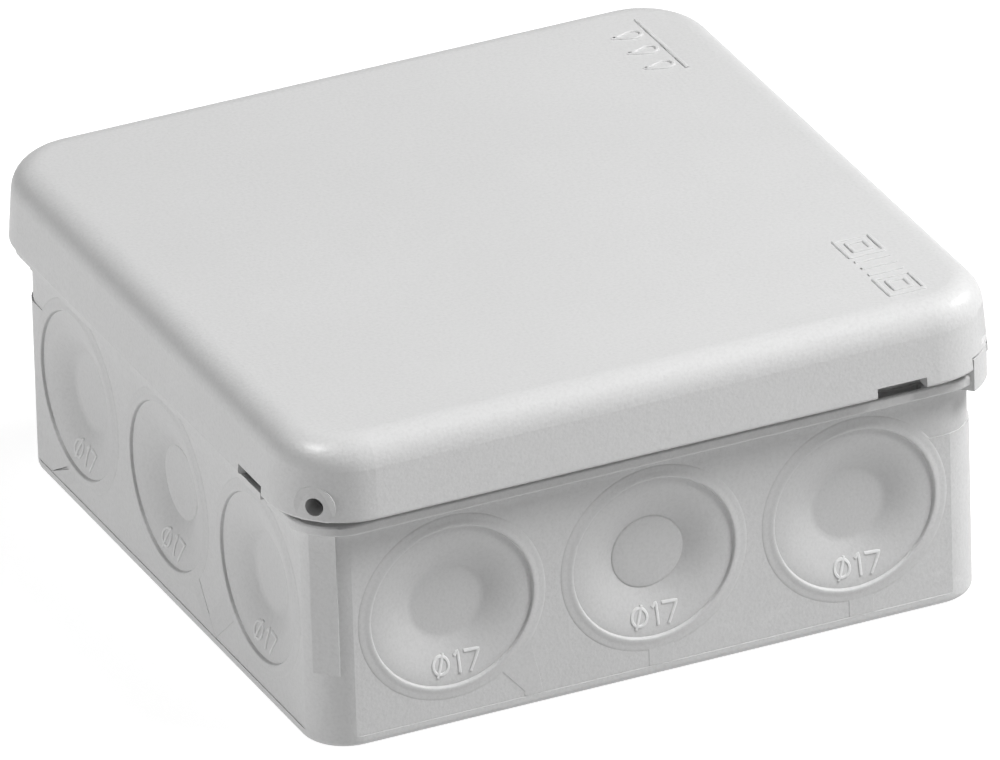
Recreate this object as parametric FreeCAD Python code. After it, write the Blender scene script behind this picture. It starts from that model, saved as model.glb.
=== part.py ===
"""Square surface-mounted electrical junction box with a snap-on lid.

Millimetres, +Z up. The origin is the centre of the underside, on the wall that the box is
screwed to. The front wall faces -Y. Each node is one physical piece, or one set of identical
fasteners, and is written to parts/NODE.step.
"""
import FreeCAD, Part
import math
import os

V = FreeCAD.Vector

# Driving dimensions -------------------------------------------------------------------------
LID_SIDE = 86.0            # outside width and depth of the lid, the widest part of the box
TOTAL_HEIGHT = 38.1        # underside of the base to the top of the lid
LID_EDGE_Z = 28.8          # lower edge of the lid's skirt
LID_CORNER_R = 9.2
LID_TOP_R = 3.5            # rounding between the lid's top and its skirt
LID_DRAFT = 0.7            # how far the skirt leans in over the lid's whole height
LID_EDGE_R = 0.35          # small roundings that take the sharpness off a moulded edge
LID_WALL = 2.0
LID_TOP_THICKNESS = 2.1

BASE_SIDE = 80.7           # outside width and depth of the base below its flange
BASE_CORNER_R = 5.3
BASE_FOOT_R = 0.8          # rounding of the base's bottom edge
BASE_WALL = 2.1
FLOOR = 2.2                # thickness of the base's floor
RIM_TOP_Z = 34.7           # top of the base's rim, which the lid's seal presses on
RIM_CORNER_R = 6.4         # corner radius along the middle of the rim and of the lid's seal
ROOM_CORNER_R = 3.0        # corner radius inside, under the rim, clear of the entries' lips

PANEL_DEPTH = 0.1          # how far the middle of each wall lies behind the corners and the plinth
PANEL_HALF = 36.2
PLINTH_TOP_Z = 1.3
RIM_INSET = 0.2            # how far the rim's outside lies behind the corners

FLANGE_LOW_Z = 26.8
FLANGE_TOP_Z = 28.1
FLANGE_INSET = 1.25        # how far the flange lies behind the lid's outer face
FLANGE_CORNER_R = 6.0      # tighter than the lid's, so the flange reaches further out at the corners
FLANGE_EDGE_R = 0.3
FLANGE_WRAP = 31.0         # the flange turns the corner and ends here on the side walls
LEDGE_LOW_Z = 27.8         # the thinner ledge along the side walls is higher and reaches further out
LEDGE_TOP_Z = 28.6
LEDGE_INSET = 0.5
POCKET_DEPTH = 0.6         # pocket in the flange under each screwdriver notch
POCKET_LIP = 0.35          # what is left standing in front of the pocket

ENTRY_PITCH = 24.3         # three cable entries on each wall
ENTRY_Z = 14.5
BAND_R = 11.15             # soft band that lies flush in the wall
BAND_DEPTH = 0.7
RING_R = 10.25             # raised sealing ring and the mouth inside it
RING_WIDTH = 0.5
RING_HEIGHT = 0.3
MOUTH_R = 9.75
PIP_R = 4.45               # flat middle of the dish, which is cut out for a cable
PIP_DEPTH = 1.9
MEMBRANE_THICKNESS = 0.9
LIP_R = 10.9               # soft lip on the inner side of the wall
LIP_THICKNESS = 0.6
HOLE_R = 10.0              # hole in the hard wall
RUNNER_DEPTH = 0.5

NOTCH_LENGTH = 6.0         # screwdriver notches in the lid's lower edge
NOTCH_HEIGHT = 1.3
NOTCH_CENTRE = 29.2
WIRE_HOLE_R = 1.05         # hole for a seal wire in one corner of the lid
WIRE_HOLE_Z = 30.6
WIRE_BOSS_R = 2.4

TAB_WIDTH = 4.2            # tab of the base that stands in a gap in one corner of the lid
TAB_LOW_Z, TAB_TOP_Z = 26.2, 30.1
TAB_CLEARANCE = 0.3
FACET_DEPTH = 0.7          # flat facet in the lid above the tab
FACET_LOW_Z, FACET_TOP_Z = 30.9, 35.2

FIXING_PITCH = 58.0        # screw holes for the wall behind the box
FIXING_HOLE_R = 2.25
FIXING_SEAT_R = 4.6
FIXING_SEAL_R = 4.5
FIXING_SEAL_HOLE_R = 2.5
FIXING_SEAL_THICKNESS = 0.9

SEAL_WIDTH = 2.6           # soft square ring in the lid
SEAL_GAP = 0.15
RIB_WIDTH = 0.8            # rib that holds the seal from inside

POLES = 5                  # poles of the terminal block
POLE_PITCH = 8.4
BLOCK_LOW_Z = 5.0
BLOCK_TOP_Z = 19.0
BLOCK_DEPTH = 18.0
EAR_LENGTH = 6.0
EAR_HEIGHT = 4.0
BRASS_WIDTH = 6.0
BRASS_DEPTH = 14.0
BRASS_LOW_Z = 7.2
BRASS_TOP_Z = 13.5
WIRE_BORE_R = 1.75
WIRE_BORE_Z = 10.0
SCREW_SPREAD = 3.8         # each pole's two clamp screws stand this far from its middle
THREAD_R = 1.5             # M3 clamp screws
THREAD_CLEARANCE = 0.05
SCREW_HEAD_R = 1.85
SCREW_WELL_R = 2.05
SCREW_TIP_Z = 11.9         # backed off, clear of the wire
SCREW_HEAD_LOW_Z = 16.0
SCREW_HEAD_HEIGHT = 1.4
SLOT_WIDTH = 0.6
SLOT_DEPTH = 0.7

FULL_TURN = 360.0
WALL_ANGLES = {"front": 0.0, "right": 90.0, "back": 180.0, "left": 270.0}

lid_half = LID_SIDE / 2
base_half = BASE_SIDE / 2
wall_half = base_half - RIM_INSET
inner_half = base_half - BASE_WALL
rim_width = wall_half - inner_half
lid_apex = (lid_half - LID_CORNER_R) * math.sqrt(2) + LID_CORNER_R    # lid's middle to its corner
block_half = POLES * POLE_PITCH / 2


# Helpers ------------------------------------------------------------------------------------
def rounded_prism(half_x, half_y, radius, low_z, high_z):
    """A square or oblong prism with rounded vertical corners, centred on the Z axis."""
    box = Part.makeBox(2 * half_x, 2 * half_y, high_z - low_z, V(-half_x, -half_y, low_z))
    upright = [e for e in box.Edges if abs(e.Vertexes[0].Z - e.Vertexes[1].Z) > 1e-6]
    return box.makeFillet(radius, upright)


def box_between(low, high):
    size = [b - a for a, b in zip(low, high)]
    return Part.makeBox(size[0], size[1], size[2], V(*low))


def disc(x, y, radius, low_z, high_z):
    return Part.makeCylinder(radius, high_z - low_z, V(x, y, low_z))


def turned(shape, degrees):
    copy = shape.copy()
    copy.rotate(V(0, 0, 0), V(0, 0, 1), degrees)
    return copy


def at_wall(shape, wall):
    """Carries a shape made for the front wall round to one of the four walls."""
    return turned(shape, WALL_ANGLES[wall])


def edges_at_height(shape, z):
    return [e for e in shape.Edges if all(abs(v.Z - z) < 1e-6 for v in e.Vertexes)
            and abs(e.BoundBox.ZMax - z) < 1e-6]


def fuse_all(shapes):
    first, rest = shapes[0], shapes[1:]
    return first.fuse(rest).removeSplitter() if rest else first


def upright_strip(points, front_y, depth):
    """A strip of wall material with the outline points (x, z), from front_y inwards."""
    corners = [V(x, front_y, z) for x, z in points]
    face = Part.Face(Part.makePolygon(corners + corners[:1]))
    return face.extrude(V(0, depth, 0))


# Cable entries ------------------------------------------------------------------------------
def membrane_dish():
    """The soft entry without its runner, turned about the entry's own axis.

    The outline runs in radius and depth, with depth 0 at the outside of the wall and
    positive outwards.
    """
    ring_in = RING_R - RING_WIDTH
    inside = -BASE_WALL
    lip_in = MOUTH_R - 0.3
    outline = [
        (0, -PIP_DEPTH), (PIP_R, -PIP_DEPTH), (PIP_R + 0.25, -PIP_DEPTH + 0.25),
        (ring_in, -0.1), (ring_in + 0.1, RING_HEIGHT), (RING_R - 0.1, RING_HEIGHT),
        (RING_R, 0.05), (BAND_R, 0.05), (BAND_R, -BAND_DEPTH), (HOLE_R, -BAND_DEPTH),
        (HOLE_R, inside), (LIP_R, inside), (LIP_R, inside - LIP_THICKNESS),
        (lip_in, inside - LIP_THICKNESS), (lip_in - 0.3, -0.1 - MEMBRANE_THICKNESS),
        (PIP_R, -PIP_DEPTH - MEMBRANE_THICKNESS), (0, -PIP_DEPTH - MEMBRANE_THICKNESS),
    ]
    points = [V(radius, -depth, 0) for radius, depth in outline]
    face = Part.Face(Part.makePolygon(points + points[:1]))
    return face.revolve(V(0, 0, 0), V(0, 1, 0), FULL_TURN)


def runner_outlines(wall, index):
    """Outlines, in x and z from the wall's middle, of the soft runner under one entry."""
    centre = (index - 1) * ENTRY_PITCH
    foot_z = PLINTH_TOP_Z
    if wall in ("front", "back"):
        if index == 0:
            return [[(centre + 5.5, 5.4), (centre + 8.4, 2.0), (centre + 8.4, foot_z),
                     (centre + 10.6, foot_z), (centre + 10.3, 3.2), (centre + 9.0, 9.0)]]
        return [[(centre - 0.9, 5.0), (centre - 0.9, foot_z), (centre + 2.1, foot_z),
                 (centre + 2.1, 5.0)]]
    if index == 0:
        return [[(centre - 2.0, 5.0), (centre - 8.3, foot_z), (centre - 4.6, foot_z),
                 (centre + 1.5, 5.0)]]
    shared_top, shared_foot = (10.5, 3.5), (12.1, foot_z)
    if index == 1:
        return [[(5.9, 5.7), (6.8, 4.6), (9.0, 2.1), (9.5, foot_z), shared_foot, shared_top, (7.6, 7.4)]]
    return [[shared_top, shared_foot, (17.7, 6.2), (15.6, 8.6)]]


def entry_disc(radius, centre_x, outside, inside):
    """A cylinder on one entry's axis, from outside to inside of the front wall's face."""
    start = V(centre_x, -base_half - outside, ENTRY_Z)
    return Part.makeCylinder(radius, outside - inside, start, V(0, 1, 0))


def entry_runners(wall, index):
    return [upright_strip(points, -base_half, RUNNER_DEPTH) for points in runner_outlines(wall, index)]


def entry_membrane(wall, index):
    centre_x = (index - 1) * ENTRY_PITCH
    dish = membrane_dish()
    dish.translate(V(centre_x, -base_half, ENTRY_Z))
    hole = entry_disc(HOLE_R, centre_x, 2, -BASE_WALL)
    runners = [runner.cut(hole) for runner in entry_runners(wall, index)]
    return at_wall(fuse_all([dish] + runners), wall)


def entry_pocket(wall, index):
    """What one soft entry takes out of the hard wall: its hole, its band's seat and its runner."""
    centre_x = (index - 1) * ENTRY_PITCH
    hole = entry_disc(HOLE_R, centre_x, 2, -BASE_WALL - 1)
    seat = entry_disc(BAND_R, centre_x, 2, -BAND_DEPTH)
    return at_wall(fuse_all([hole, seat] + entry_runners(wall, index)), wall)


# Base ---------------------------------------------------------------------------------------
def base_flange():
    """The ledge that the lid's edge stands over. It is deep at the front, the back and the
    corners, and thinner but wider along the two side walls."""
    outer = lid_half - FLANGE_INSET
    deep = rounded_prism(outer, outer, FLANGE_CORNER_R, FLANGE_LOW_Z, FLANGE_TOP_Z)
    sharp = edges_at_height(deep, FLANGE_LOW_Z) + edges_at_height(deep, FLANGE_TOP_Z)
    deep = deep.makeFillet(FLANGE_EDGE_R, sharp)
    ledge_out = lid_half - LEDGE_INSET
    ledge = box_between((-ledge_out, -FLANGE_WRAP, LEDGE_LOW_Z), (ledge_out, FLANGE_WRAP, LEDGE_TOP_Z))
    for side in (-1, 1):
        far = side * (outer + 1)
        near = side * (base_half - 0.1)
        relief = box_between((min(far, near), -FLANGE_WRAP, FLANGE_LOW_Z - 1),
                             (max(far, near), FLANGE_WRAP, LEDGE_LOW_Z))
        deep = deep.cut(relief)
    flange = deep.fuse([ledge, corner_tab()])
    return flange.cut(notch_pockets())


def notch_pockets():
    """Pockets in the flange's top, one under each notch, for the tip of the screwdriver."""
    pockets = []
    for wall in WALL_ANGLES:
        on_side = wall in ("left", "right")
        inset, top_z = (LEDGE_INSET, LEDGE_TOP_Z) if on_side else (FLANGE_INSET, FLANGE_TOP_Z)
        pocket = box_between((NOTCH_CENTRE - NOTCH_LENGTH / 2, -lid_half + inset + POCKET_LIP,
                              top_z - POCKET_DEPTH),
                             (NOTCH_CENTRE + NOTCH_LENGTH / 2, -wall_half, top_z + 1))
        pockets.append(at_wall(pocket, wall))
    return pockets


def corner_tab():
    """A tab on the flange at one corner, level with the lid's outside."""
    half = lid_half - 0.1
    strip = turned(box_between((lid_apex - 2.9, -TAB_WIDTH / 2, TAB_LOW_Z),
                               (lid_apex + 1, TAB_WIDTH / 2, TAB_TOP_Z)), 315)
    return strip.common(rounded_prism(half, half, LID_CORNER_R - 0.1, TAB_LOW_Z, TAB_TOP_Z))


def corner_gap():
    """What the lid leaves open round the tab, and the facet above it."""
    half_gap = TAB_WIDTH / 2 + TAB_CLEARANCE
    gap = box_between((lid_apex - 5, -half_gap, LID_EDGE_Z - 1),
                      (lid_apex + 1, half_gap, TAB_TOP_Z + TAB_CLEARANCE))
    facet = box_between((lid_apex - FACET_DEPTH, 0, FACET_LOW_Z), (lid_apex + 1, 5, FACET_TOP_Z))
    return [turned(gap, 315), turned(facet, 315)]


def corner_facet(direction):
    """The flat strip down one vertical corner, under the lid's seal-wire hole."""
    width, low_z = 3.1, 9.0
    apex = (base_half - BASE_CORNER_R) * math.sqrt(2) + BASE_CORNER_R
    strip = box_between((apex - 2.0, -width / 2, low_z), (apex, width / 2, FLANGE_LOW_Z + 0.5))
    return turned(strip, direction)


def wall_panels():
    """What is taken off the outside: a shallow panel in each wall, and the tops of two corner pads."""
    reach = 3.0
    panel = box_between((-PANEL_HALF, -base_half - reach, PLINTH_TOP_Z),
                        (PANEL_HALF, -base_half + PANEL_DEPTH, FLANGE_LOW_Z))
    cuts = [at_wall(panel, wall) for wall in WALL_ANGLES]
    pad_top_z = 21.0
    skin = rounded_prism(base_half + reach, base_half + reach, BASE_CORNER_R, pad_top_z, FLANGE_LOW_Z)
    skin = skin.cut(rounded_prism(wall_half, wall_half, BASE_CORNER_R - RIM_INSET,
                                  pad_top_z - 1, FLANGE_LOW_Z + 1))
    quarter = box_between((PANEL_HALF - 4, -base_half - 2 * reach, 0),
                          (base_half + 2 * reach, -PANEL_HALF + 4, TOTAL_HEIGHT))
    corner_skin = skin.common(quarter)
    return cuts + [corner_skin, turned(corner_skin, 180)]


def underside_relief():
    """A shallow hollow under the floor, with flat islands round the fixing holes and two ribs."""
    depth, half, island_r, rib = 0.7, 36.0, 6.5, 1.2
    hollow = rounded_prism(half, half, 4.0, -1.0, depth)
    islands = [disc(x, y, island_r, -2.0, depth + 1) for x, y in fixing_places()]
    reach = FIXING_PITCH / 2 * math.sqrt(2)
    bar = box_between((-reach, -rib / 2, -2.0), (reach, rib / 2, depth + 1))
    hub = disc(0, 0, 7.0, -2.0, depth + 1)
    return hollow.cut(islands + [turned(bar, 45), turned(bar, -45), hub])


def fixing_places():
    half = FIXING_PITCH / 2
    return [(x, y) for x in (-half, half) for y in (-half, half)]


def block_boss_places():
    reach = block_half + EAR_LENGTH / 2
    return [(-reach, 0.0), (reach, 0.0)]


def snap_bead(half_at, z, height, stand_out, length):
    """A bead with a rounded front along the front wall, on the plane y = -half_at."""
    radius = height / 2
    bead = Part.makeCylinder(radius, length, V(-length / 2, -half_at - stand_out + radius, z), V(1, 0, 0))
    return bead


def base_shell():
    outer = rounded_prism(base_half, base_half, BASE_CORNER_R, 0, RIM_TOP_Z)
    outer = outer.makeFillet(BASE_FOOT_R, edges_at_height(outer, 0))
    outer = outer.cut(wall_panels())
    rim_skin = rounded_prism(base_half + 3, base_half + 3, BASE_CORNER_R, FLANGE_TOP_Z, RIM_TOP_Z + 1)
    rim_skin = rim_skin.cut(rounded_prism(wall_half, wall_half, RIM_CORNER_R + rim_width / 2,
                                          FLANGE_TOP_Z - 1, RIM_TOP_Z + 2))
    outer = outer.cut(rim_skin)
    outer = outer.fuse([base_flange(), corner_facet(225), corner_facet(45)])
    room = rounded_prism(inner_half, inner_half, ROOM_CORNER_R, FLOOR, FLANGE_LOW_Z)
    room = room.makeFillet(1.0, edges_at_height(room, FLOOR))
    mouth_r = RIM_CORNER_R - rim_width / 2
    mouth = rounded_prism(inner_half, inner_half, mouth_r, FLANGE_LOW_Z - 1, RIM_TOP_Z + 1)
    shell = outer.cut([room, mouth])

    beads = [at_wall(snap_bead(wall_half, 33.0, 1.0, 0.3, 14.0), wall) for wall in WALL_ANGLES]
    bosses = [disc(x, y, 3.2, FLOOR - 0.5, BLOCK_LOW_Z) for x, y in block_boss_places()]
    seats = [disc(x, y, FIXING_SEAT_R + 1.3, FLOOR - 0.5, FLOOR + 1.4) for x, y in fixing_places()]
    shell = shell.fuse(beads + bosses + seats)

    shell = shell.cut(underside_relief())
    holes = [disc(x, y, FIXING_HOLE_R, -1, FLOOR + 3) for x, y in fixing_places()]
    holes += [disc(x, y, FIXING_SEAT_R, FLOOR, FLOOR + 3) for x, y in fixing_places()]
    holes += [disc(x, y, 1.2, 1.4, BLOCK_LOW_Z + 1) for x, y in block_boss_places()]
    holes += [entry_pocket(wall, index) for wall in WALL_ANGLES for index in range(3)]
    return shell.cut(holes).removeSplitter()


def fixing_hole_seals():
    rings = []
    for x, y in fixing_places():
        ring = disc(x, y, FIXING_SEAL_R, FLOOR, FLOOR + FIXING_SEAL_THICKNESS)
        rings.append(ring.cut(disc(x, y, FIXING_SEAL_HOLE_R, 0, FLOOR + 3)))
    return Part.makeCompound(rings)


# Lid ----------------------------------------------------------------------------------------
def wire_hole_boss():
    """A short round boss through the lid's corner, flat outside and inside."""
    length = LID_WALL + 0.4
    face_at = lid_apex - 0.3
    boss = Part.makeCylinder(WIRE_BOSS_R, length, V(face_at - length, 0, WIRE_HOLE_Z), V(1, 0, 0))
    hole = Part.makeCylinder(WIRE_HOLE_R, length + 2, V(face_at - length - 1, 0, WIRE_HOLE_Z), V(1, 0, 0))
    below = box_between((0, -5, 0), (lid_apex + 5, 5, LID_EDGE_Z))
    return turned(boss.cut(below), 225), turned(hole, 225)


def lid_outline(inset, z):
    """The wire round the lid's outside, set in by inset."""
    prism = rounded_prism(lid_half - inset, lid_half - inset, LID_CORNER_R - inset, z, z + 1)
    return [face for face in prism.Faces if face.BoundBox.ZMax < z + 0.5][0].OuterWire


def lid():
    outer = Part.makeLoft([lid_outline(0, LID_EDGE_Z), lid_outline(LID_DRAFT, TOTAL_HEIGHT)], True, True)
    outer = outer.makeFillet(LID_TOP_R, edges_at_height(outer, TOTAL_HEIGHT))
    outer = outer.makeFillet(LID_EDGE_R, edges_at_height(outer, LID_EDGE_Z))
    inner = lid_half - LID_WALL
    ceiling = TOTAL_HEIGHT - LID_TOP_THICKNESS
    hollow = rounded_prism(inner, inner, LID_CORNER_R - LID_WALL, LID_EDGE_Z - 1, ceiling)
    hollow = hollow.makeFillet(2.0, edges_at_height(hollow, ceiling))
    shell = outer.cut(hollow)

    seal_mid = (wall_half + inner_half) / 2
    rib_out = seal_mid + SEAL_WIDTH / 2
    rib_in = seal_mid - SEAL_WIDTH / 2
    rib_low = ceiling - 0.9
    rib_in_r = RIM_CORNER_R - SEAL_WIDTH / 2
    inner_rib = rounded_prism(rib_in, rib_in, rib_in_r, rib_low, ceiling + 0.2)
    inner_rib = inner_rib.cut(rounded_prism(rib_in - RIB_WIDTH, rib_in - RIB_WIDTH, rib_in_r - RIB_WIDTH,
                                            rib_low - 1, ceiling + 1))
    filler = rounded_prism(inner, inner, LID_CORNER_R - LID_WALL, rib_low, ceiling + 0.1)
    filler = filler.cut(rounded_prism(rib_out, rib_out, RIM_CORNER_R + SEAL_WIDTH / 2,
                                      rib_low - 1, ceiling + 1))
    beads = [at_wall(snap_bead(-inner, 31.4, 1.0, 0.4, 12.0), wall) for wall in WALL_ANGLES]
    boss, hole = wire_hole_boss()
    shell = shell.fuse([inner_rib, filler, boss] + beads)

    notch = box_between((NOTCH_CENTRE - NOTCH_LENGTH / 2, -lid_half - 1, LID_EDGE_Z - 1),
                        (NOTCH_CENTRE + NOTCH_LENGTH / 2, -inner + 0.5, LID_EDGE_Z + NOTCH_HEIGHT))
    notches = [at_wall(notch, wall) for wall in WALL_ANGLES]
    return shell.cut(notches + corner_gap() + [hole, lid_seal()]).removeSplitter()


def lid_seal():
    seal_mid = (wall_half + inner_half) / 2
    out, inside = seal_mid + SEAL_WIDTH / 2, seal_mid - SEAL_WIDTH / 2
    low, high = RIM_TOP_Z + SEAL_GAP, TOTAL_HEIGHT - LID_TOP_THICKNESS
    ring = rounded_prism(out, out, RIM_CORNER_R + SEAL_WIDTH / 2, low, high)
    return ring.cut(rounded_prism(inside, inside, RIM_CORNER_R - SEAL_WIDTH / 2, low - 1, high + 1))


# Terminal block -----------------------------------------------------------------------------
def pole_x(pole):
    return (pole - (POLES - 1) / 2) * POLE_PITCH


def terminal_housing():
    half_y = BLOCK_DEPTH / 2
    body = rounded_prism(block_half, half_y, 1.0, BLOCK_LOW_Z, BLOCK_TOP_Z)
    body = body.makeFillet(0.5, edges_at_height(body, BLOCK_TOP_Z))
    ears = rounded_prism(block_half + EAR_LENGTH, 4.5, 3.0, BLOCK_LOW_Z, BLOCK_LOW_Z + EAR_HEIGHT)
    block = body.fuse(ears).removeSplitter()
    cuts = [disc(x, y, 1.7, BLOCK_LOW_Z - 1, BLOCK_TOP_Z) for x, y in block_boss_places()]
    for pole in range(POLES):
        x = pole_x(pole)
        cuts.append(box_between((x - BRASS_WIDTH / 2, -BRASS_DEPTH / 2, BLOCK_LOW_Z - 1),
                                (x + BRASS_WIDTH / 2, BRASS_DEPTH / 2, BRASS_TOP_Z)))
        cuts.append(Part.makeCylinder(WIRE_BORE_R + 0.35, BLOCK_DEPTH + 2, V(x, -half_y - 1, WIRE_BORE_Z),
                                      V(0, 1, 0)))
        for side in (-1, 1):
            funnel = Part.makeCone(WIRE_BORE_R + 0.35, WIRE_BORE_R + 1.05, 0.9,
                                   V(x, side * (half_y - 0.9), WIRE_BORE_Z), V(0, side, 0))
            cuts.append(funnel)
            cuts.append(disc(x, side * SCREW_SPREAD, SCREW_WELL_R, BRASS_TOP_Z - 0.1, BLOCK_TOP_Z + 1))
    for gap in range(1, POLES):
        x = pole_x(gap) - POLE_PITCH / 2
        for side in (-1, 1):
            y_values = sorted((side * (half_y - 0.8), side * (half_y + 1)))
            cuts.append(box_between((x - 0.4, y_values[0], BLOCK_LOW_Z - 1),
                                    (x + 0.4, y_values[1], BLOCK_TOP_Z + 1)))
        cuts.append(box_between((x - 0.4, -half_y - 1, BLOCK_TOP_Z - 1.2),
                                (x + 0.4, half_y + 1, BLOCK_TOP_Z + 1)))
    return block.cut(cuts).removeSplitter()


def brass_terminal(pole):
    x = pole_x(pole)
    body = box_between((x - BRASS_WIDTH / 2, -BRASS_DEPTH / 2, BRASS_LOW_Z),
                       (x + BRASS_WIDTH / 2, BRASS_DEPTH / 2, BRASS_TOP_Z))
    start = V(x, -BRASS_DEPTH / 2 - 1, WIRE_BORE_Z)
    cuts = [Part.makeCylinder(WIRE_BORE_R, BRASS_DEPTH + 2, start, V(0, 1, 0))]
    cuts += [disc(x, side * SCREW_SPREAD, THREAD_R, WIRE_BORE_Z, BRASS_TOP_Z + 1) for side in (-1, 1)]
    return body.cut(cuts)


def slotted_screw(x, y, tip_z, head_low_z, head_height, thread_r, head_r):
    head_top = head_low_z + head_height
    head = disc(x, y, head_r, head_low_z, head_top)
    head = head.makeFillet(0.25, edges_at_height(head, head_top))
    shank = disc(x, y, thread_r, tip_z, head_low_z + 0.1)
    shank = shank.makeChamfer(0.3, edges_at_height(shank, tip_z))
    slot = box_between((x - head_r - 1, y - SLOT_WIDTH / 2, head_top - SLOT_DEPTH),
                       (x + head_r + 1, y + SLOT_WIDTH / 2, head_top + 1))
    return head.fuse(shank).removeSplitter().cut(slot)


def clamp_screw(pole, side):
    return slotted_screw(pole_x(pole), side * SCREW_SPREAD, SCREW_TIP_Z, SCREW_HEAD_LOW_Z,
                         SCREW_HEAD_HEIGHT, THREAD_R - THREAD_CLEARANCE, SCREW_HEAD_R)


def block_screws():
    """The two screws that hold the terminal block on its bosses."""
    ear_top = BLOCK_LOW_Z + EAR_HEIGHT
    screws = [slotted_screw(x, y, 1.6, ear_top, 1.8, 1.15, 2.7) for x, y in block_boss_places()]
    return Part.makeCompound(screws)


# Write the nodes ----------------------------------------------------------------------------
def write(name, shape):
    volumes = [solid.Volume for solid in shape.Solids]
    closed = all(solid.isValid() and solid.isClosed() for solid in shape.Solids)
    print(f"{name:32s} solids {len(volumes)} volume {sum(volumes):9.1f} closed {closed}")
    shape.exportStep(os.path.join("parts", name + ".step"))


def main():
    os.makedirs("parts", exist_ok=True)
    write("base_shell", base_shell())
    for wall in WALL_ANGLES:
        for index in range(3):
            write(f"entry_membrane_{wall}_{index + 1}", entry_membrane(wall, index))
    write("fixing_hole_seals", fixing_hole_seals())
    write("lid", lid())
    write("lid_seal", lid_seal())
    write("terminal_housing", terminal_housing())
    for pole in range(POLES):
        write(f"terminal_{pole + 1}", brass_terminal(pole))
        for letter, side in (("a", -1), ("b", 1)):
            write(f"clamp_screw_{pole + 1}{letter}", clamp_screw(pole, side))
    write("block_screws", block_screws())


main()
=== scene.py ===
import math
import random

import bmesh
import bpy
from mathutils import Matrix, Vector


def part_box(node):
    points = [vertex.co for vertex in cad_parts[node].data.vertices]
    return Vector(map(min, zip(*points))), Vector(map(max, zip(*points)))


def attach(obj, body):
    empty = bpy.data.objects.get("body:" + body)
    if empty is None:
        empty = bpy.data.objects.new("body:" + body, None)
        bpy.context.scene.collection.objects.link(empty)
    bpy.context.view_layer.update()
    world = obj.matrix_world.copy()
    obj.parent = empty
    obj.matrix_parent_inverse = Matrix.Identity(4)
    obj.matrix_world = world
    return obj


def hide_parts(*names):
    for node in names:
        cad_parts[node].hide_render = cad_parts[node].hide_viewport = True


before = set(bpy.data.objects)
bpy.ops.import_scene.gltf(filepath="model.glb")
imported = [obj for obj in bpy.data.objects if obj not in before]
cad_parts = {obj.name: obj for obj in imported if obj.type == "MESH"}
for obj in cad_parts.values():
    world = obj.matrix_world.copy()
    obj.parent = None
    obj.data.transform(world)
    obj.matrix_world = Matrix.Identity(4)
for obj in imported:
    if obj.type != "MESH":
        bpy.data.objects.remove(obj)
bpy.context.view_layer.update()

MM = 0.001

# Sizes in millimetres that the soft entries share with the CAD ----------------------------------
WALL_FACE = 40.35          # the soft entries' zero plane, measured out from the box's middle
WALL_THICKNESS = 2.1
ENTRY_PITCH = 24.3
BAND_R = 11.15
BAND_DEPTH = 0.7
HOLE_R = 10.0
LIP_R = 10.9
LIP_THICKNESS = 0.6
MEMBRANE_THICKNESS = 0.9
PIP_DEPTH = 1.9
RUNNER_FOOT_Z = 1.3

# Sizes in millimetres of the dish, which is curved here and a straight cone in the CAD ----------
PIP_R = 4.35
PIP_STEP = 0.10            # a crisp middle stands this far above the cone's foot
CONE_TOP_R = 9.62
CONE_TOP_DEPTH = 0.30
CONE_CURVE = 1.85          # 1 is a straight cone; more is steeper near the middle
DISH_STEPS = 18
SOFT_EDGE_STEPS = 8

WALL_ANGLES = {"front": 0.0, "right": 90.0, "back": 180.0, "left": 270.0}
LATHE_STEPS = 144
STROKE_SPACING = 0.14
SHARP_ANGLE = math.radians(34)


# Mesh helpers -----------------------------------------------------------------------------------
def finish_mesh(name, bm, material, body, nodes=(), more_materials=()):
    """Turns a bmesh in millimetres into a piece that rides on a body."""
    bmesh.ops.scale(bm, vec=(MM, MM, MM), verts=bm.verts)
    bmesh.ops.recalc_face_normals(bm, faces=bm.faces)
    for face in bm.faces:
        face.smooth = True
    for edge in bm.edges:
        if len(edge.link_faces) == 2 and edge.calc_face_angle() > SHARP_ANGLE:
            edge.smooth = False
    mesh = bpy.data.meshes.new(name)
    bm.to_mesh(mesh)
    bm.free()
    piece = bpy.data.objects.new(name, mesh)
    bpy.context.scene.collection.objects.link(piece)
    for finish in (material, *more_materials):
        mesh.materials.append(finish)
    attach(piece, body)
    if nodes:
        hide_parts(*nodes)


def bridge(bm, first, second):
    """Joins two closed rings of vertices. A ring of one vertex is a point on the axis."""
    count = max(len(first), len(second))
    for i in range(count):
        j = (i + 1) % count
        if len(first) == 1:
            bm.faces.new((first[0], second[j], second[i]))
        elif len(second) == 1:
            bm.faces.new((first[i], first[j], second[0]))
        else:
            bm.faces.new((first[i], first[j], second[j], second[i]))


def lathe(bm, profile, place):
    """Turns a profile of (radius, out) points about the axis. place(x, out, z) gives the vertex."""
    rings = []
    for radius, out in profile:
        if radius == 0:
            rings.append([bm.verts.new(place(0, out, 0))])
            continue
        ring = []
        for step in range(LATHE_STEPS):
            angle = 2 * math.pi * step / LATHE_STEPS
            x, z = radius * math.cos(angle), radius * math.sin(angle)
            ring.append(bm.verts.new(place(x, out, z)))
        rings.append(ring)
    for first, second in zip(rings, rings[1:]):
        bridge(bm, first, second)


def densify(points, spacing, closed):
    """Points along straight runs, no further apart than spacing."""
    ends = points[1:] + points[:1] if closed else points[1:]
    dense = []
    for start, end in zip(points, ends):
        start, end = Vector(start), Vector(end)
        parts = max(1, math.ceil((end - start).length / spacing))
        dense += [start.lerp(end, part / parts) for part in range(parts)]
    if not closed:
        dense.append(Vector(points[-1]))
    return dense


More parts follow.
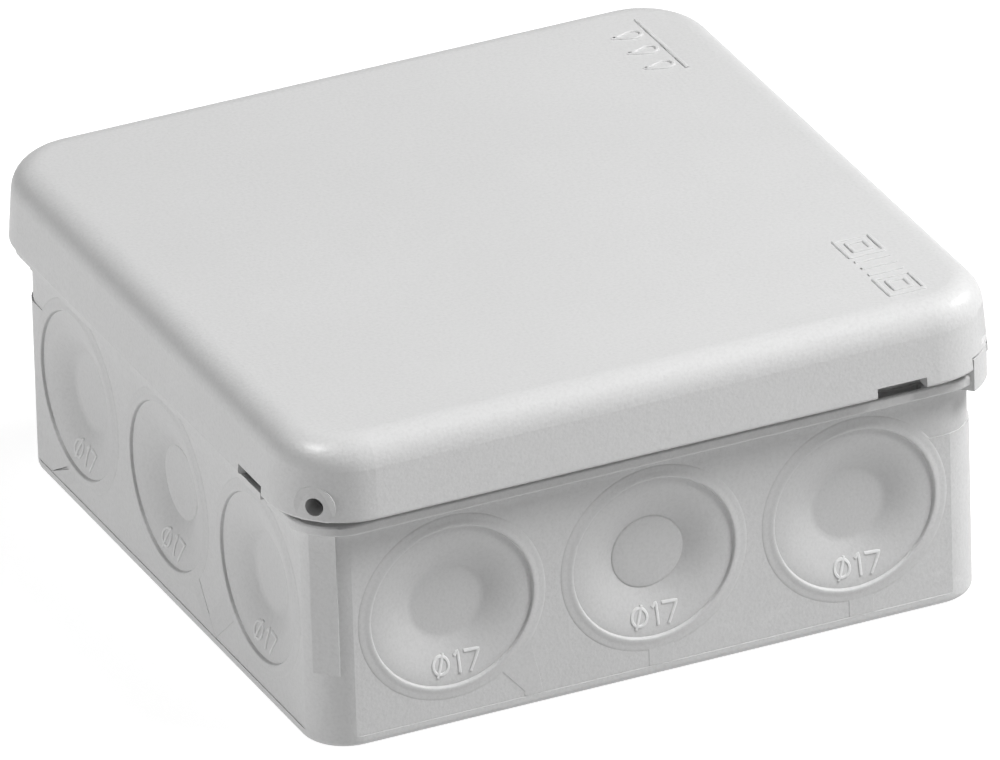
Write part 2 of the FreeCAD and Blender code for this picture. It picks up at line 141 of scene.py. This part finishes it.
def raised_stroke(bm, points, width, height, surface, place, closed=False):
    """A rounded bar along points (x, z), on a surface whose outward level is surface(x, z)."""
    path = densify(points, STROKE_SPACING, closed)
    half = width / 2
    section = [(-half - 0.05, -0.12), (-half, 0.45 * height), (-half * 0.55, height),
               (half * 0.55, height), (half, 0.45 * height), (half + 0.05, -0.12)]
    count = len(path)
    loops = []
    for i, point in enumerate(path):
        before = path[(i - 1) % count] if closed or i > 0 else point
        after = path[(i + 1) % count] if closed or i < count - 1 else point
        along = (after - before).normalized()
        across = Vector((along.y, -along.x))
        loop = []
        for side, up in section:
            x, z = point + across * side
            loop.append(bm.verts.new(place(x, surface(x, z) + up, z)))
        loops.append(loop)
    following = loops[1:] + loops[:1] if closed else loops[1:]
    for first, second in zip(loops, following):
        bridge(bm, first, second)
    if not closed:
        bm.faces.new(loops[0])
        bm.faces.new(list(reversed(loops[-1])))


def circle_points(centre, radius_x, radius_y, count):
    return [(centre[0] + radius_x * math.cos(2 * math.pi * i / count),
             centre[1] + radius_y * math.sin(2 * math.pi * i / count)) for i in range(count)]


# Node helpers -----------------------------------------------------------------------------------
class Nodes:
    """Short calls for building one material's node tree."""

    def __init__(self, name):
        self.material = bpy.data.materials.new(name)
        self.material.use_nodes = True
        self.tree = self.material.node_tree
        self.shader = self.tree.nodes["Principled BSDF"]
        self.coords = self.tree.nodes.new("ShaderNodeTexCoord").outputs["Object"]

    def link(self, source, target):
        self.tree.links.new(source, target)

    def noise(self, scale, detail=3.0, roughness=0.5, stretch=None):
        node = self.tree.nodes.new("ShaderNodeTexNoise")
        node.inputs["Scale"].default_value = scale
        node.inputs["Detail"].default_value = detail
        node.inputs["Roughness"].default_value = roughness
        source = self.coords
        if stretch:
            mapping = self.tree.nodes.new("ShaderNodeMapping")
            mapping.inputs["Scale"].default_value = stretch
            self.link(source, mapping.inputs["Vector"])
            source = mapping.outputs["Vector"]
        self.link(source, node.inputs["Vector"])
        return node.outputs["Fac"]

    def spots(self, scale):
        node = self.tree.nodes.new("ShaderNodeTexVoronoi")
        node.inputs["Scale"].default_value = scale
        self.link(self.coords, node.inputs["Vector"])
        return node.outputs["Distance"]

    def remap(self, value, low, high, to_low, to_high):
        node = self.tree.nodes.new("ShaderNodeMapRange")
        limits = {"From Min": low, "From Max": high, "To Min": to_low, "To Max": to_high}
        for name, number in limits.items():
            node.inputs[name].default_value = number
        self.link(value, node.inputs["Value"])
        return node.outputs["Result"]

    def ramp(self, value, stops):
        """Colours by value: stops are (place, (r, g, b))."""
        node = self.tree.nodes.new("ShaderNodeValToRGB")
        elements = node.color_ramp.elements
        while len(elements) < len(stops):
            elements.new(0.5)
        for element, (place, colour) in zip(elements, stops):
            element.position = place
            element.color = (*colour, 1.0)
        self.link(value, node.inputs["Fac"])
        return node.outputs["Color"]

    def mix(self, first, second, factor, blend="MIX"):
        node = self.tree.nodes.new("ShaderNodeMix")
        node.data_type = "RGBA"
        node.blend_type = blend
        if isinstance(factor, float):
            node.inputs["Factor"].default_value = factor
        else:
            self.link(factor, node.inputs["Factor"])
        for socket, colour in (("A", first), ("B", second)):
            target = [s for s in node.inputs if s.name == socket and s.type == "RGBA"][0]
            if isinstance(colour, tuple):
                target.default_value = (*colour, 1.0)
            else:
                self.link(colour, target)
        return [s for s in node.outputs if s.type == "RGBA"][0]

    def math(self, operation, first, second):
        node = self.tree.nodes.new("ShaderNodeMath")
        node.operation = operation
        for socket, value in zip(node.inputs, (first, second)):
            if isinstance(value, (int, float)):
                socket.default_value = value
            else:
                self.link(value, socket)
        return node.outputs["Value"]

    def bump(self, height, strength, distance, normal=None):
        node = self.tree.nodes.new("ShaderNodeBump")
        node.inputs["Strength"].default_value = strength
        node.inputs["Distance"].default_value = distance
        self.link(height, node.inputs["Height"])
        if normal is not None:
            self.link(normal, node.inputs["Normal"])
        return node.outputs["Normal"]

    def set(self, **values):
        for name, value in values.items():
            self.shader.inputs[name.replace("_", " ")].default_value = value


def grey(level, warmth=0.0):
    return (level * (1 + warmth), level, level * (1 - warmth))


def moulded_plastic(name, level, roughness, grain, mottling, scuffs, warmth=0.0):
    """Moulded plastic: spark-eroded grain, slow mottling from the melt, faint scuffs and dust."""
    n = Nodes(name)
    cloud = n.noise(38.0, 4.0, 0.55)
    flow = n.noise(16.0, 2.0, 0.5, stretch=(1.0, 1.0, 2.6))
    speck = n.noise(2600.0, 2.0, 0.6)
    tone = n.ramp(cloud, [(0.30, grey(level * (1 - mottling), warmth)), (0.5, grey(level, warmth)),
                          (0.72, grey(level * (1 + mottling * 0.8), warmth))])
    drift = n.ramp(flow, [(0.35, grey(1 - mottling)), (0.65, grey(1.0))])
    tone = n.mix(tone, drift, 1.0, "MULTIPLY")
    grain_tone = n.ramp(speck, [(0.32, grey(0.955)), (0.5, grey(1.0)), (0.7, grey(1.03))])
    tone = n.mix(tone, grain_tone, 1.0, "MULTIPLY")
    scuff_field = n.noise(420.0, 5.0, 0.7, stretch=(0.25, 1.0, 1.0))
    scuff_place = n.noise(60.0, 2.0, 0.5)
    scuff = n.math("MULTIPLY", n.remap(scuff_field, 0.60, 0.74, 0.0, 1.0),
                   n.remap(scuff_place, 0.52, 0.68, 0.0, 1.0))
    tone = n.mix(tone, grey(min(1.0, level * 1.22), warmth), n.math("MULTIPLY", scuff, scuffs))
    n.link(tone, n.shader.inputs["Base Color"])
    rough = n.remap(n.noise(180.0, 4.0, 0.6), 0.3, 0.7, roughness - 0.05, roughness + 0.06)
    rough = n.math("ADD", rough, n.math("MULTIPLY", scuff, 0.10))
    n.link(rough, n.shader.inputs["Roughness"])
    fine = n.noise(3400.0, 3.0, 0.65)
    pits = n.spots(2300.0)
    wave = n.noise(90.0, 2.0, 0.5)
    normal = n.bump(wave, 0.10, 0.0006)
    normal = n.bump(pits, 0.25 * grain, 0.00006, normal)
    normal = n.bump(fine, 0.5 * grain, 0.00005, normal)
    n.link(normal, n.shader.inputs["Normal"])
    n.set(IOR=1.49, Specular_IOR_Level=0.38)
    return n.material


def closed_foam(name):
    """Fine closed-cell sealing foam."""
    n = Nodes(name)
    cells = n.spots(2400.0)
    tone = n.ramp(cells, [(0.1, (0.035, 0.036, 0.038)), (0.6, (0.075, 0.077, 0.08))])
    patches = n.ramp(n.noise(150.0), [(0.4, grey(0.85)), (0.6, grey(1.0))])
    tone = n.mix(tone, patches, 1.0, "MULTIPLY")
    n.link(tone, n.shader.inputs["Base Color"])
    n.link(n.remap(n.noise(900.0), 0.3, 0.7, 0.78, 0.95), n.shader.inputs["Roughness"])
    n.link(n.bump(cells, 0.8, 0.00018), n.shader.inputs["Normal"])
    n.set(Sheen_Weight=0.15)
    return n.material


def machined_metal(name, colour, roughness, tarnish):
    """Turned or sawn metal with fine tool marks, small stains and a few bright scratches."""
    n = Nodes(name)
    dark = tuple(c * tarnish for c in colour)
    stain = n.ramp(n.noise(420.0, 5.0, 0.65), [(0.36, dark), (0.56, colour)])
    n.link(stain, n.shader.inputs["Base Color"])
    tool = n.noise(900.0, 3.0, 0.6, stretch=(1.0, 0.08, 4.0))
    rough = n.remap(tool, 0.3, 0.7, roughness - 0.07, roughness + 0.12)
    n.link(rough, n.shader.inputs["Roughness"])
    normal = n.bump(tool, 0.35, 0.00004)
    n.link(n.bump(n.noise(2600.0), 0.2, 0.00003, normal), n.shader.inputs["Normal"])
    n.set(Metallic=1.0, Anisotropic=0.35)
    return n.material


shell_plastic = moulded_plastic("shell_plastic", 0.53, 0.42, 1.0, 0.02, 0.5)
lid_plastic = moulded_plastic("lid_plastic", 0.52, 0.34, 0.9, 0.012, 0.25)
soft_entry = moulded_plastic("soft_entry", 0.52, 0.47, 0.6, 0.02, 0.35)
# A lighter copy of the entry's plastic for the raised figures: a painted highlight standing in for
# the light their tops catch.
soft_figures_painted_highlight = moulded_plastic("soft_figures_painted_highlight", 0.62, 0.45, 0.5, 0.02, 0.2)
soft_seal = moulded_plastic("soft_seal", 0.48, 0.50, 0.6, 0.02, 0.2)
terminal_plastic = moulded_plastic("terminal_plastic", 0.70, 0.36, 0.5, 0.02, 0.2,
                                   warmth=0.015)
seal_foam = closed_foam("seal_foam")
terminal_brass = machined_metal("terminal_brass", (0.83, 0.61, 0.26), 0.30, 0.72)
screw_steel = machined_metal("screw_steel", (0.70, 0.69, 0.66), 0.26, 0.62)


# CAD nodes that stay, each with its finish ------------------------------------------------------
def coat(node, material):
    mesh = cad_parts[node].data
    mesh.materials.clear()
    mesh.materials.append(material)


coat("base_shell", shell_plastic)
coat("lid", lid_plastic)
coat("terminal_housing", terminal_plastic)
coat("block_screws", screw_steel)
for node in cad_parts:
    if node.startswith("clamp_screw_"):
        coat(node, screw_steel)
    elif node.startswith("terminal_") and node != "terminal_housing":
        coat(node, terminal_brass)


# Soft cable entries -----------------------------------------------------------------------------
def cone_level(x, z):
    """Outward level of the dish between its flat middle and its mouth."""
    share = (math.hypot(x, z) - PIP_R) / (CONE_TOP_R - PIP_R)
    share = min(max(share, 0.0), 1.0)
    return -CONE_TOP_DEPTH - (PIP_DEPTH - CONE_TOP_DEPTH) * (1 - share) ** CONE_CURVE


def dish_profile(crisp, softness):
    """The entry's outline from the axis outwards, round its edge, and back inside the wall.

    A crisp middle is a flat disc with an edge. Otherwise softness is how far its edge is rounded.
    """
    if crisp:
        flat = -PIP_DEPTH + PIP_STEP
        front = [(0, flat), (PIP_R * 0.5, flat), (PIP_R - 0.22, flat), (PIP_R - 0.12, flat - 0.02),
                 (PIP_R - 0.04, -PIP_DEPTH + 0.01), (PIP_R + 0.05, cone_level(PIP_R + 0.05, 0))]
        start = PIP_R + 0.15
    else:
        inner, outer = PIP_R - softness, PIP_R + softness
        front = [(0, -PIP_DEPTH), (PIP_R * 0.5, -PIP_DEPTH), (inner, -PIP_DEPTH)]
        lift = cone_level(outer, 0) + PIP_DEPTH
        for step in range(1, SOFT_EDGE_STEPS):
            share = step / SOFT_EDGE_STEPS
            front.append((inner + (outer - inner) * share, -PIP_DEPTH + lift * share * share))
        start = outer
    for step in range(DISH_STEPS + 1):
        radius = start + (CONE_TOP_R - start) * step / DISH_STEPS
        front.append((radius, cone_level(radius, 0)))
    front += [(9.67, -0.22), (9.71, -0.06), (9.75, 0.02), (9.82, 0.06), (9.93, 0.07), (10.08, 0.06),
              (10.24, 0.03), (10.42, -0.01), (10.6, -0.03),
              (10.90, -0.04), (11.10, -0.06), (11.22, -0.09), (11.30, -0.14), (11.36, -0.22)]
    inside = -WALL_THICKNESS
    back = [(11.12, -0.30), (11.12, -BAND_DEPTH), (HOLE_R, -BAND_DEPTH), (HOLE_R, inside),
            (LIP_R, inside - 0.02), (LIP_R, inside - LIP_THICKNESS), (9.4, inside - LIP_THICKNESS),
            (9.1, -0.1 - MEMBRANE_THICKNESS), (PIP_R, -PIP_DEPTH - MEMBRANE_THICKNESS),
            (0, -PIP_DEPTH - MEMBRANE_THICKNESS)]
    return front + back


RUNNER_LEVELS = (-0.45, -0.06)     # back and front of a runner, measured out from the wall's face
RUNNER_BEVEL = 0.03

FIGURE_WIDTH = 0.36
FIGURE_HEIGHT = 0.12
FIGURE_SHIFTS = (0.2, -0.2, 0.1)   # sideways, for the first, second and third entry of a wall
FIGURE_STROKES = [                 # (points, closed) of a diameter sign, a one and a seven
    ([(-1.08, -5.95), (-2.05, -8.5)], False),
    (circle_points((-1.52, -7.22), 0.92, 1.0, 28), True),
    ([(0.20, -6.48), (0.67, -6.08), (0.65, -8.45)], False),
    ([(1.38, -6.2), (3.06, -6.2), (1.92, -8.5)], False),
]


def runner_outlines(wall, index):
    """The soft runners under one entry, as outlines in x and z from the entry's own axis."""
    low = RUNNER_FOOT_Z - entry_z
    if wall in ("front", "back"):
        if index == 0:
            return [[(5.5, -9.1), (8.4, -12.5), (8.4, low), (10.6, low),
                     (10.3, -11.3), (9.0, -5.5)]]
        return [[(-0.9, -10.2), (-0.9, low), (2.1, low), (2.1, -10.2)]]
    if index == 0:
        return [[(-2.0, -10.1), (-8.3, low), (-4.6, low), (1.5, -10.1)]]
    if index == 1:
        return [[(5.9, -8.8), (6.8, -9.9), (9.0, -12.4), (9.5, low), (12.1, low),
                 (10.5, -11.0), (7.6, -7.1)]]
    return [[(-13.8, -11.0), (-12.2, low), (-6.6, -8.3), (-8.7, -5.9)]]


def plate(bm, outline, low, high, bevel, place):
    """A thin plate with a small bevel round its outer face."""
    centre = sum((Vector(p) for p in outline), Vector((0, 0))) / len(outline)

    def ring(level, inset):
        ring_points = []
        for point in outline:
            towards = (centre - Vector(point)).normalized() * inset
            x, z = Vector(point) + towards
            ring_points.append(bm.verts.new(place(x, level, z)))
        return ring_points

    rings = [ring(low, 0), ring(high - bevel, 0), ring(high, bevel)]
    for first, second in zip(rings, rings[1:]):
        bridge(bm, first, second)
    bm.faces.new(rings[0])
    bm.faces.new(list(reversed(rings[-1])))


def entry_place(wall, index):
    """place(x, out, z) for points measured from one entry's axis on the wall's face."""
    turn = Matrix.Rotation(math.radians(WALL_ANGLES[wall]), 3, "Z")
    along = (index - 1) * ENTRY_PITCH
    return lambda x, out, z: turn @ Vector((along + x, -WALL_FACE - out, entry_z + z))


def entry_membrane(wall, index):
    """One soft entry: the dish with its band and lip, the raised figures and the runners."""
    rng = random.Random(f"{wall}{index}")
    place = entry_place(wall, index)
    bm = bmesh.new()
    lathe(bm, dish_profile(index == 1, rng.uniform(0.35, 0.6)), place)
    shift = FIGURE_SHIFTS[index]
    plain_faces = set(bm.faces)
    for points, closed in FIGURE_STROKES:
        moved = [(x + shift, z) for x, z in points]
        raised_stroke(bm, moved, FIGURE_WIDTH, FIGURE_HEIGHT, cone_level, place, closed)
    # The figures take the lighter copy of the plastic, which paints a highlight on their tops.
    for face in set(bm.faces) - plain_faces:
        face.material_index = 1
    for outline in runner_outlines(wall, index):
        plate(bm, outline, *RUNNER_LEVELS, RUNNER_BEVEL, place)
    node = f"entry_membrane_{wall}_{index + 1}"
    finish_mesh(f"soft_{node}", bm, soft_entry, "base", [node], [soft_figures_painted_highlight])


entry_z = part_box("entry_membrane_front_2")[1].z / MM - BAND_R
for wall in WALL_ANGLES:
    for index in range(3):
        entry_membrane(wall, index)


# Seals ------------------------------------------------------------------------------------------
SEAL_WIDTH = 2.6
SEAL_CORNER_R = 6.4        # along the middle of the seal
SEAL_CROWN = 0.35          # how far the seal's lower face is rounded
RING_OUTER_R, RING_INNER_R = 4.5, 2.5
RING_STEPS = 72


def square_loop(half, radius, level, corner_steps=10):
    """Points round a square with rounded corners."""
    points = []
    for quarter in range(4):
        middle = math.radians(45 + 90 * quarter)
        corner = Vector((math.copysign(half - radius, math.cos(middle)),
                         math.copysign(half - radius, math.sin(middle)), level))
        for step in range(corner_steps + 1):
            angle = math.radians(90 * quarter + 90 * step / corner_steps)
            points.append(corner + Vector((radius * math.cos(angle), radius * math.sin(angle), 0)))
    return points


def lid_seal():
    """The seal ring under the lid, rounded where it meets the rim."""
    low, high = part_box("lid_seal")
    bottom, top = low.z / MM, high.z / MM
    middle = high.x / MM - SEAL_WIDTH / 2
    side_face, shoulder = SEAL_WIDTH / 2 - 0.02, SEAL_WIDTH / 2 - 0.3
    section = [(side_face, top), (side_face, bottom + SEAL_CROWN), (shoulder, bottom + 0.1),
               (0.5, bottom), (-0.5, bottom), (-shoulder, bottom + 0.1),
               (-side_face, bottom + SEAL_CROWN), (-side_face, top)]
    bm = bmesh.new()
    rings = []
    for side, level in section:
        loop = square_loop(middle + side, SEAL_CORNER_R + side, level)
        rings.append([bm.verts.new(point) for point in loop])
    for first, second in zip(rings, rings[1:] + rings[:1]):
        bridge(bm, first, second)
    finish_mesh("soft_lid_seal", bm, seal_foam, "lid", ["lid_seal"])


def fixing_hole_seals():
    """Four soft rings round the wall-fixing holes, each with a groove in its top."""
    low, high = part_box("fixing_hole_seals")
    floor, top = low.z / MM, high.z / MM
    spread = high.x / MM - RING_OUTER_R
    bm = bmesh.new()
    section = [(RING_OUTER_R, floor), (RING_OUTER_R, top - 0.25), (RING_OUTER_R - 0.08, top - 0.08),
               (RING_OUTER_R - 0.25, top), (3.5, top), (3.35, top - 0.2), (3.15, top - 0.2),
               (3.0, top), (RING_INNER_R + 0.2, top), (RING_INNER_R + 0.06, top - 0.06),
               (RING_INNER_R, top - 0.2), (RING_INNER_R, floor)]
    for side_x in (-1, 1):
        for side_y in (-1, 1):
            centre = Vector((side_x * spread, side_y * spread, 0))
            rings = []
            for radius, level in section:
                ring = [bm.verts.new(centre + Vector((x, y, level)))
                        for x, y in circle_points((0, 0), radius, radius, RING_STEPS)]
                rings.append(ring)
            for first, second in zip(rings, rings[1:] + rings[:1]):
                bridge(bm, first, second)
    finish_mesh("soft_fixing_hole_seals", bm, soft_seal, "base",
                ["fixing_hole_seals"])


lid_seal()
fixing_hole_seals()


# Raised marks on the lid ------------------------------------------------------------------------
MARK_WIDTH = 0.5
MARK_HEIGHT = 0.16
MARK_LEFT_X, MARK_RIGHT_X = 30.3, 34.9


def lid_place(x, out, z):
    """Marks are drawn in x and y on the lid's flat top."""
    return Vector((x, z, lid_top + out))


def drop_points(centre, length, count=28):
    """A water drop whose tip points to -x."""
    points = []
    for i in range(count):
        angle = 2 * math.pi * i / count
        fall = (1 - math.cos(angle)) / 2
        x = centre[0] - length / 2 + length * fall
        y = centre[1] + 0.36 * length * math.sin(angle) * fall ** 0.8
        points.append((x, y))
    return points


def square_points(centre, half):
    x, y = centre
    return [(x - half, y - half), (x + half, y - half), (x + half, y + half), (x - half, y + half)]


def lid_marks():
    """Plain signs: water drops over a line at the back, nested squares and bars at the front."""
    middle_x = (MARK_LEFT_X + MARK_RIGHT_X) / 2
    bm = bmesh.new()
    strokes = []
    for y in (25.2, 29.4, 33.6):
        strokes.append((drop_points((middle_x - 0.5, y), 3.4), True))
    strokes.append(([(MARK_RIGHT_X - 0.2, 23.2), (MARK_RIGHT_X - 0.2, 36.8)], False))
    for y in (-35.4, -25.2):
        strokes.append((square_points((middle_x, y), 2.1), True))
        strokes.append((square_points((middle_x, y), 1.05), True))
    for y in (-32.0, -30.3, -28.6):
        strokes.append(([(MARK_LEFT_X + 0.2, y), (MARK_RIGHT_X - 0.2, y)], False))
    for points, closed in strokes:
        raised_stroke(bm, points, MARK_WIDTH, MARK_HEIGHT, lambda x, z: 0.0, lid_place, closed)
    finish_mesh("lid_raised_marks", bm, lid_plastic, "lid")


lid_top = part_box("lid")[1].z / MM
lid_marks()


# Studio -----------------------------------------------------------------------------------------
SURROUNDINGS = 0.08        # strength of the plain white world
LIGHT_AIM = Vector((0.0, 0.0, 0.02))
FLOOR_SIZE = 6.0
FLOOR_GLOW = 0.47          # the floor is a light table, which lifts the low sides
FLOOR_WHITENESS = 0.42     # more glow where the camera sees it, so that it stays white
FLOOR_GAP = 0.00005        # metres under the box, so that the two never share a plane


def floor_material():
    """A glowing white table that is clear from below, so that the underside can be seen."""
    n = Nodes("studio_floor")
    tone = n.ramp(n.noise(14.0, 3.0, 0.5), [(0.35, grey(0.32)), (0.65, grey(0.34))])
    n.link(tone, n.shader.inputs["Base Color"])
    n.set(Roughness=0.85, Emission_Color=(1.0, 1.0, 1.0, 1.0))
    seen = n.tree.nodes.new("ShaderNodeLightPath").outputs["Is Camera Ray"]
    glow = n.remap(seen, 0.0, 1.0, FLOOR_GLOW, FLOOR_GLOW + FLOOR_WHITENESS)
    n.link(glow, n.shader.inputs["Emission Strength"])
    underside = n.tree.nodes.new("ShaderNodeNewGeometry").outputs["Backfacing"]
    clear = n.tree.nodes.new("ShaderNodeBsdfTransparent").outputs["BSDF"]
    either = n.tree.nodes.new("ShaderNodeMixShader")
    for source, target in zip((underside, n.shader.outputs["BSDF"], clear), either.inputs):
        n.link(source, target)
    n.link(either.outputs["Shader"], n.tree.nodes["Material Output"].inputs["Surface"])
    return n.material


def studio_floor():
    bm = bmesh.new()
    bmesh.ops.create_grid(bm, x_segments=8, y_segments=8, size=FLOOR_SIZE)
    bmesh.ops.translate(bm, vec=(0, 0, -FLOOR_GAP), verts=bm.verts)
    mesh = bpy.data.meshes.new("studio_floor")
    bm.to_mesh(mesh)
    bm.free()
    floor = bpy.data.objects.new("studio_floor", mesh)
    bpy.context.scene.collection.objects.link(floor)
    mesh.materials.append(floor_material())


def softbox(name, place, width, watts, gloss):
    """A square light about a metre away. It gives either the highlights or the plain shading."""
    light = bpy.data.lights.new(name, "AREA")
    light.size = width
    light.energy = watts
    lamp = bpy.data.objects.new(name, light)
    lamp.location = place
    lamp.rotation_euler = (LIGHT_AIM - Vector(place)).to_track_quat("-Z", "Y").to_euler()
    lamp.visible_glossy = gloss
    lamp.visible_diffuse = not gloss
    bpy.context.scene.collection.objects.link(lamp)


def surroundings(level):
    world = bpy.data.worlds.new("studio")
    world.use_nodes = True
    background = world.node_tree.nodes["Background"]
    background.inputs["Color"].default_value = (1.0, 1.0, 1.0, 1.0)
    background.inputs["Strength"].default_value = level
    bpy.context.scene.world = world


CAMERA_AZIMUTH = math.radians(-24.086)
CAMERA_ELEVATION = math.radians(27.41)
CAMERA_ROLL = math.radians(-1.742)
CAMERA_DISTANCE = 2.3988
CAMERA_LENS = 780.5
CAMERA_AIM = Vector((0.33, 0.16, 17.74)) * MM


def camera():
    azimuth, elevation, roll = CAMERA_AZIMUTH, CAMERA_ELEVATION, CAMERA_ROLL
    forward = Vector((-math.sin(azimuth) * math.cos(elevation),
                      math.cos(azimuth) * math.cos(elevation), -math.sin(elevation)))
    level_right = Vector((math.cos(azimuth), math.sin(azimuth), 0))
    level_up = level_right.cross(forward)
    right = math.cos(roll) * level_right + math.sin(roll) * level_up
    up = -math.sin(roll) * level_right + math.cos(roll) * level_up
    data = bpy.data.cameras.new("camera")
    data.lens = CAMERA_LENS
    data.sensor_width = 36.0
    data.sensor_fit = "HORIZONTAL"
    data.clip_start = 0.05
    data.clip_end = 50.0
    eye = bpy.data.objects.new("camera", data)
    rotation = Matrix((right, up, -forward)).transposed()
    position = Matrix.Translation(CAMERA_AIM - forward * CAMERA_DISTANCE)
    eye.matrix_world = position @ rotation.to_4x4()
    bpy.context.scene.collection.objects.link(eye)
    bpy.context.scene.camera = eye


studio_floor()
surroundings(SURROUNDINGS)
softbox("key", (0.47, -0.28, 0.84), 0.45, 16.3, gloss=False)
softbox("left_fill", (-0.95, 0.26, 0.06), 0.25, 6.4, gloss=False)
softbox("left_glint", (-0.55, -0.10, 0.82), 0.15, 9.0, gloss=True)
softbox("right_glint", (0.83, -0.03, 0.55), 0.15, 4.0, gloss=True)
camera()
bpy.context.scene.view_settings.view_transform = "Standard"
bpy.context.scene.view_settings.look = "None"
